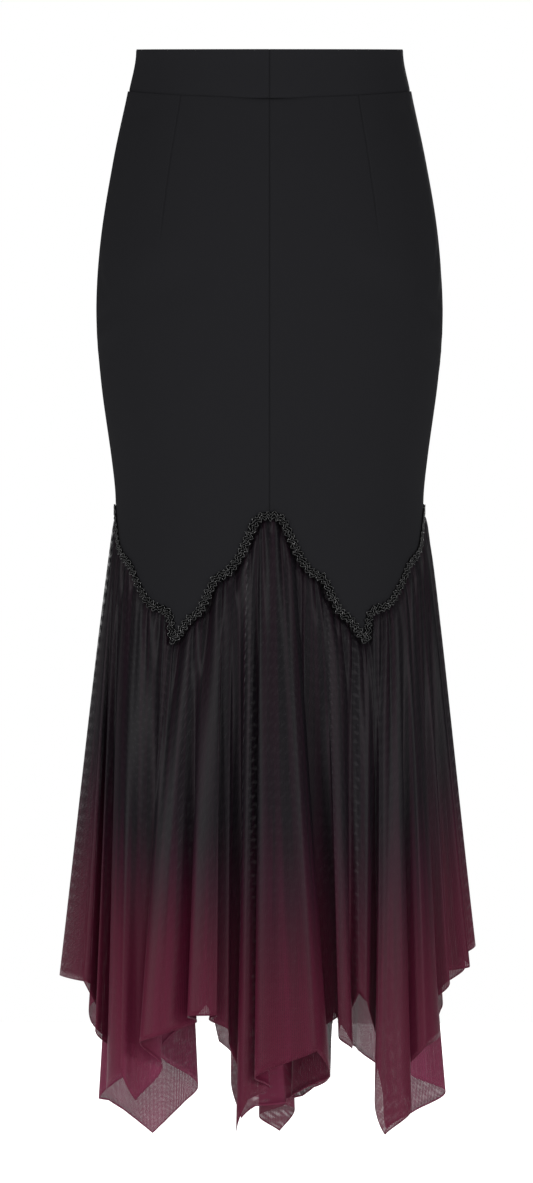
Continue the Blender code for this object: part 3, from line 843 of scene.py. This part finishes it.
def with_turned_hem(grid):
    """The grid with two rows more: its hem, turned up on the inside."""
    outward = unit(np.cross(np.gradient(grid, axis=0), np.gradient(grid, axis=1)))
    inward = -outward[-1] * HEM_THICKNESS
    upward = unit(grid[-2] - grid[-1]) * HEM_TURN_UP
    return np.concatenate([grid, (grid[-1] + inward)[None], (grid[-1] + inward + upward)[None]])


def hollowness(grid):
    """How deep in a fold the cloth lies, from 0 to 1."""
    out = np.linalg.norm(grid[..., :2], axis=-1)
    padded = np.pad(out, ((0, 0), (HOLLOW_REACH, HOLLOW_REACH)), mode="edge")
    total = np.cumsum(padded, axis=1)
    mean = (total[:, 2 * HOLLOW_REACH :] - total[:, : -2 * HOLLOW_REACH]) / (2 * HOLLOW_REACH)
    return np.clip((mean - out) / HOLLOW_DEPTH, 0, 1)


def dye_and_light_strength(turn, height, hollow):
    """How far the dye has gone, 0 where black ends and 1 where burgundy begins, with painted light added
    deep in folds and on the back's outer hem points.
    """
    around = from_centre_front(turn)
    left = smooth_share(-around, *DYE_LEFT_START) * (1 - smooth_share(-around, *DYE_LEFT_END))
    start = DYE_START - DYE_SIDE_LEAD * np.abs(np.sin(oval_angle(turn))) ** DYE_SIDE_POWER
    gone = (-height - start - DYE_LEFT_DELAY * left) / DYE_LENGTH * (1 + DYE_LEFT_GAIN * left)
    # painted light: deep in a fold the colour goes further towards burgundy
    gone = gone + HOLLOW_PAINTED_LIGHT * hollow * smooth_share(gone, *HOLLOW_PAINTED_LIGHT_START)
    outer = (np.abs(around) > 1) * smooth_share(2 - np.abs(around), *CENTRE_REACH)
    # painted light: the back's outer hem points are made lighter and pinker
    back_tip_light = BACK_TIP_PAINTED_LIGHT * outer * smooth_share(-height, *BACK_TIP_DROP)
    return np.clip(gone + back_tip_light, DYE[0].strength, DYE[-1].strength)


def add_point_values(piece, name, values):
    made = piece.data.attributes.new(name, "FLOAT", "POINT")
    made.data.foreach_set("value", np.asarray(values, np.float32).ravel())


def sheerness(turn, height):
    """How open the mesh looks, from 0 to 1."""
    away = np.abs(from_centre_front(turn))
    sheer = np.where(away < 1, FRONT_SHEERNESS, BACK_SHEERNESS)
    sheer = np.maximum(sheer, 1 - smooth_share(np.abs(away - 1), *SHEER_SIDE))
    sheer = np.maximum(sheer, smooth_share(-height, *SHEER_DROP))
    outer = smooth_share(2 - away, *CENTRE_REACH)
    return CENTRE_SHEERNESS + (sheer - CENTRE_SHEERNESS) * outer


def ticked(turn, height):
    """How much the rows of painted light ticks show, from 0 to 1."""
    around = (turn + 1.5) % 4 - 1.5  # parted where no strip lies, between the last and the first
    shown = np.full_like(around, TICKS_ALL_OVER)
    for strip in TICK_STRIPS:
        down = smooth_share(-height, strip.start, strip.start + TICK_FADE)
        shown = np.maximum(shown, strip.strength * down * dip(around - strip.turn, strip.half_width))
    return shown


def add_flounce(name, first, last, surface):
    """The gathered mesh from one side seam to the other, with a narrow turned hem."""
    grid, turn = flounce_grid(first, last)
    whole = with_turned_hem(grid)
    turn = np.concatenate([turn, turn[-2:]])
    down = lengths_along(grid, 0)
    down = np.concatenate([down, down[-1:], down[-1:] - HEM_TURN_UP])
    across = lengths_along(grid[[WEAVE_ROW]], 1)
    coordinates = np.stack([np.broadcast_to(across, down.shape), down], axis=-1)
    piece = add_object(name, whole, grid_faces(*whole.shape[:2]), coordinates, surface)
    height = whole[..., 2]
    # this attribute carries the dye together with painted light in fold hollows and on the back's outer
    # hem points
    add_point_values(piece, "dye_and_painted_light", dye_and_light_strength(turn, height, hollowness(whole)))
    add_point_values(piece, "sheer", sheerness(turn, height))
    add_point_values(piece, "ticks", ticked(turn, height))
    return piece


# -------------------- materials


class Surface:
    """A material with a Principled shader, and short calls to wire its nodes."""

    def __init__(self, name, **settings):
        self.material = bpy.data.materials.new(name)
        self.material.use_nodes = True
        self.tree = self.material.node_tree
        self.shader = self.tree.nodes["Principled BSDF"]
        for socket, value in settings.items():
            self.shader.inputs[socket.replace("_", " ")].default_value = value

    def node(self, kind, settings=None, **inputs):
        made = self.tree.nodes.new(kind)
        for key, value in (settings or {}).items():
            setattr(made, key, value)
        for key, value in inputs.items():
            self.wire(made.inputs[key.replace("_", " ")], value)
        return made

    def wire(self, socket, value):
        if isinstance(value, bpy.types.NodeSocket):
            self.tree.links.new(value, socket)
        else:
            socket.default_value = value

    def cloth_map(self, across, down):
        """The cloth's own coordinates, in metres, times these scales."""
        weave = self.node("ShaderNodeUVMap", {"uv_map": "Weave"}).outputs["UV"]
        return self.node("ShaderNodeMapping", Vector=weave, Scale=(across, down, 1)).outputs["Vector"]

    def point_value(self, name):
        """One of the values that the flounce's points carry."""
        return self.node("ShaderNodeAttribute", {"attribute_name": name}).outputs["Fac"]

    def noise(self, across, down, detail):
        """Soft noise with this many patches to the metre."""
        cloth = self.cloth_map(across, down)
        return self.node("ShaderNodeTexNoise", Vector=cloth, Scale=1.0, Detail=detail).outputs["Fac"]

    def wave(self, direction, across, down, scale, unevenness):
        """Bands across the cloth, whose coordinates are divided by these pitches."""
        cloth = self.cloth_map(1 / across, 1 / down)
        bands = {"bands_direction": direction}
        made = self.node("ShaderNodeTexWave", bands, Vector=cloth, Scale=scale, Distortion=unevenness)
        return made.outputs["Fac"]

    def ranged(self, value, source=(0, 1), target=(0, 1), course="LINEAR"):
        """The value with one range mapped to another."""
        ends = dict(zip(("From_Min", "From_Max", "To_Min", "To_Max"), (*source, *target)))
        made = self.node("ShaderNodeMapRange", {"interpolation_type": course}, Value=value, **ends)
        return made.outputs["Result"]

    def math(self, operation, first, second):
        made = self.node("ShaderNodeMath", {"operation": operation})
        self.wire(made.inputs[0], first)
        self.wire(made.inputs[1], second)
        return made.outputs[0]

    def ramp(self, factor, stops):
        """The colour at the factor's place between the stops, which are pairs of a place and a colour."""
        made = self.node("ShaderNodeValToRGB", Fac=factor)
        while len(made.color_ramp.elements) < len(stops):
            made.color_ramp.elements.new(0.5)
        for element, (stop, colour) in zip(made.color_ramp.elements, stops):
            element.position = stop
            element.color = (*colour, 1)
        return made.outputs["Color"]

    def add_colour(self, factor, colour, added):
        """The colour with this much of another one added."""
        made = self.node("ShaderNodeMixRGB", {"blend_type": "ADD"}, Fac=factor, Color1=colour)
        made.inputs["Color2"].default_value = (*added, 1)
        return made.outputs["Color"]

    def bump(self, height, distance, strength):
        made = self.node("ShaderNodeBump", Height=height, Distance=distance, Strength=strength)
        self.wire(self.shader.inputs["Normal"], made.outputs["Normal"])


BAND_BLACK = (0.01139, 0.01139, 0.012864, 1)
BODY_BLACK = (0.01072, 0.01072, 0.01206, 1)
# near-black: the braid tape paints the shade in the gaps between the cords
TAPE_SHADE_BLACK = (0.001206, 0.001206, 0.00134, 1)
TWILL_PITCH = 1.1 * MM
SLUBS = (900, 2600)  # to the metre, across and down
SUITING_RELIEF = (0.1 * MM, 0.35)  # a bump's distance and strength, as for each relief
THREAD_WAVE = 0.5  # scale of a wave texture with one slanting band to 1.26 pitches
CORD_TONES = [(0.1, (0.0006, 0.0006, 0.0008)), (0.6, (0.0034, 0.0034, 0.0038))]
CORD_THREADS = (1500, 500)
CORD_RELIEF = (0.25 * MM, 0.8)


def suiting(name, black):
    """Matte black crepe suiting: a fine twill with slubs."""
    made = Surface(name, Base_Color=black, Roughness=0.95, Specular_IOR_Level=0.05)
    rib = made.wave("DIAGONAL", TWILL_PITCH, TWILL_PITCH, THREAD_WAVE, unevenness=0.6)
    made.bump(made.math("ADD", rib, made.noise(*SLUBS, detail=3.0)), *SUITING_RELIEF)
    return made.material


def braid_cord(name):
    """Twisted rayon cord: black with a low shine, and threads that wind round it."""
    made = Surface(name, Roughness=0.20, Specular_IOR_Level=0.46)
    twist = made.wave("DIAGONAL", CORD_RADIUS * 2 * math.pi, CORD_TWIST, THREAD_WAVE, unevenness=0.4)
    tone = made.math("MULTIPLY", twist, made.noise(*CORD_THREADS, detail=2.0))
    made.wire(made.shader.inputs["Base Color"], made.ramp(tone, CORD_TONES))
    made.bump(twist, *CORD_RELIEF)
    return made.material


Dye = namedtuple("Dye", "strength colour")
DYE = [
    Dye(-0.60, (0.0024, 0.0018, 0.0030)),
    Dye(0.00, (0.0040, 0.0026, 0.0042)),
    Dye(0.14, (0.0078, 0.0026, 0.0052)),
    Dye(0.32, (0.0170, 0.0030, 0.0078)),
    Dye(0.52, (0.0308, 0.0037, 0.0102)),
    Dye(0.75, (0.0485, 0.0047, 0.0138)),
    Dye(1.00, (0.0605, 0.0059, 0.0172)),
    Dye(1.33, (0.0740, 0.0080, 0.0218)),
    Dye(2.10, (0.1230, 0.0190, 0.0460)),
]
STREAKS = (120, 2.5)  # to the metre, across and down
FLUSH = 0.10  # of the dye's whole strength, between a grey streak of the cloth and a red one
FLUSH_RED = (0.0034, 0.0000, 0.0014)
FLUSH_MIDDLE = 0.4
FLUSH_EDGE = (0.42, 0.64)  # of the streaks' noise, from grey to red
# painted light of the ticks, added to the mesh's base colour
TICK_PAINTED_LIGHT = (0.0520, 0.0480, 0.0520)
TICK_OPENING = 0.42
ONE_WAVE = math.pi / 10  # scale with one level band to a pitch, and one slanting band to two
HOLE_PITCH = 1.30 * MM
HOLE_UNEVENNESS = 0.06
HOLE_EDGE = (0.16, 0.30)  # of the pitch, from the hole's clear middle to solid thread
HOLE_ALPHA = (0.92, 0.74)  # where the mesh is close, and where it is sheer
THREAD_ALPHA = 0.985
MESH_RELIEF = (0.12 * MM, 0.25)


def dye_colour(made):
    """Black to burgundy by the dye's strength, which grey and red streaks of the cloth vary; that strength
    also carries painted light from fold hollows and the back's hem points.
    """
    streaks = made.noise(*STREAKS, detail=2.0)
    flush = made.ranged(streaks, FLUSH_EDGE, course="SMOOTHSTEP")
    change = made.math("MULTIPLY", made.math("SUBTRACT", flush, FLUSH_MIDDLE), FLUSH)
    # the strength read here holds the dye and the painted light of fold hollows and hem points
    strength = made.math("ADD", made.point_value("dye_and_painted_light"), change)
    first, last = DYE[0].strength, DYE[-1].strength
    share = made.math("DIVIDE", made.math("SUBTRACT", strength, first), last - first)
    colour = made.ramp(share, [((dye_and_painted_light.strength - first) / (last - first), dye_and_painted_light.colour) for dye_and_painted_light in DYE])
    return made.add_colour(flush, colour, FLUSH_RED)


def tick_rows(made):
    """Short ticks of painted light in slanting rows, where the strips say."""
    waves = [made.wave(w.direction, w.pitch, w.pitch, ONE_WAVE, w.unevenness) for w in TICK_WAVES]
    rows = made.math("SMOOTH_MIN", *waves)
    rows.node.inputs[2].default_value = TICK_SOFTNESS
    return made.math("MULTIPLY", made.point_value("ticks"), made.ranged(rows, (TICK_START, 1)))


def hole_cover(made, ticks):
    """Alpha of the mesh: rows of small holes, more open where the cloth is sheer or ticks show."""
    holes = made.node(
        "ShaderNodeTexVoronoi",
        {"voronoi_dimensions": "2D", "feature": "F1"},
        Vector=made.cloth_map(1 / HOLE_PITCH, 1 / HOLE_PITCH),
        Scale=1.0,
        Randomness=HOLE_UNEVENNESS,
    )
    hole_alpha = made.ranged(made.point_value("sheer"), target=HOLE_ALPHA)
    ends = (hole_alpha, THREAD_ALPHA)
    cover = made.ranged(holes.outputs["Distance"], HOLE_EDGE, ends, "SMOOTHSTEP")
    return made.math("SUBTRACT", cover, made.math("MULTIPLY", ticks, TICK_OPENING))


def mesh_dye_and_painted_light(name):
    """Fine mesh with rows of holes, dyed from black to burgundy, with painted light in its fold hollows,
    on the back's outer hem points and in its ticks.
    """
    made = Surface(name, Roughness=0.46, Specular_IOR_Level=0.082)
    ticks = tick_rows(made)
    # painted light: the ticks add a light colour to the base where light would show through two layers'
    # holes
    made.wire(made.shader.inputs["Base Color"], made.add_colour(ticks, dye_colour(made), TICK_PAINTED_LIGHT))
    cover = hole_cover(made, ticks)
    made.wire(made.shader.inputs["Alpha"], cover)
    made.bump(cover, *MESH_RELIEF)
    return made.material


# -------------------- floor, light and camera


def add_floor():
    """A plain white floor a little below the hem."""
    bpy.ops.mesh.primitive_plane_add(size=FLOOR_SIZE, location=(0, 0, CAD_BOX[0].z - FLOOR_BELOW_HEM))
    floor = bpy.context.object
    floor.name = "floor"
    white = Surface(
        "Floor white", Base_Color=(0.8, 0.8, 0.8, 1), Roughness=1.0, Specular_IOR_Level=0.0,
        Emission_Color=(1, 1, 1, 1), Emission_Strength=FLOOR_GLOW,
    )
    floor.data.materials.append(white.material)


def add_area_light(name, place, size, power):
    """A soft light that faces the middle of the skirt."""
    lamp = bpy.data.lights.new(name, "AREA")
    lamp.shape = "DISK"
    lamp.size = size
    lamp.energy = power
    holder = bpy.data.objects.new(name, lamp)
    bpy.context.scene.collection.objects.link(holder)
    holder.location = place
    middle = (CAD_BOX[0] + CAD_BOX[1]) / 2
    holder.rotation_euler = (middle - holder.location).to_track_quat("-Z", "Y").to_euler()


def add_light():
    """A room that looks white but lights the skirt less, and the lamps."""
    world = bpy.data.worlds.new("White studio")
    world.use_nodes = True
    tree = world.node_tree
    seen, room = tree.nodes["Background"], tree.nodes.new("ShaderNodeBackground")
    for background in (seen, room):
        background.inputs["Color"].default_value = (1, 1, 1, 1)
    room.inputs["Strength"].default_value = ROOM_LIGHT
    rays, mix = tree.nodes.new("ShaderNodeLightPath"), tree.nodes.new("ShaderNodeMixShader")
    tree.links.new(rays.outputs["Is Camera Ray"], mix.inputs["Fac"])
    tree.links.new(room.outputs["Background"], mix.inputs[1])
    tree.links.new(seen.outputs["Background"], mix.inputs[2])
    tree.links.new(mix.outputs["Shader"], tree.nodes["World Output"].inputs["Surface"])
    bpy.context.scene.world = world
    for lamp in LAMPS:
        add_area_light(*lamp)


def add_camera():
    """A long lens, level and square to the front."""
    data = bpy.data.cameras.new("camera")
    data.sensor_width = SENSOR
    data.lens = SENSOR * CAMERA_DISTANCE / FRAME_HEIGHT
    camera = bpy.data.objects.new("camera", data)
    bpy.context.scene.collection.objects.link(camera)
    camera.location = (CAMERA_X, -CAMERA_DISTANCE, CAMERA_Z)
    camera.rotation_euler = (math.pi / 2, 0, 0)
    bpy.context.scene.camera = camera


def place(piece, node, slot):
    """The piece rides on the skirt's only body and stands for one of its solids."""
    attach(piece, "root")
    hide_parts(node)


def main():
    bpy.context.scene.view_settings.view_transform = "Standard"
    band = suiting("Black suiting band", BAND_BLACK)
    black = suiting("Black suiting body", BODY_BLACK)
    cord = braid_cord("Black braid cord")
    gap_shade_tape = suiting("Braid tape painted shade", TAPE_SHADE_BLACK)
    mesh = mesh_dye_and_painted_light("Dyed mesh and painted light")

    for name, *turns in PANELS:
        place(add_waistband("Waistband_" + name, *turns, band), "waistband_" + name, "waistband_cloth")
    for name, *turns in PANELS:
        place(add_body_panel("Body_" + name, *turns, black), "body_" + name, "body_cloth")
    place(add_braid("Braid", cord), "braid_trim", "braid")
    # the braid tape is a near-black sheet that paints the shade between the cords
    place(add_braid_shade_tape("Braid_shade_tape", gap_shade_tape), "braid_trim", "braid")
    seam, end = len(FRONT_FOLDS), len(FRONT_FOLDS + BACK_FOLDS)
    place(add_flounce("Flounce_front", 0, seam, mesh), "flounce_front", "flounce_mesh")
    place(add_flounce("Flounce_back", seam, end, mesh), "flounce_back", "flounce_mesh")

    add_floor()
    add_light()
    add_camera()


main()
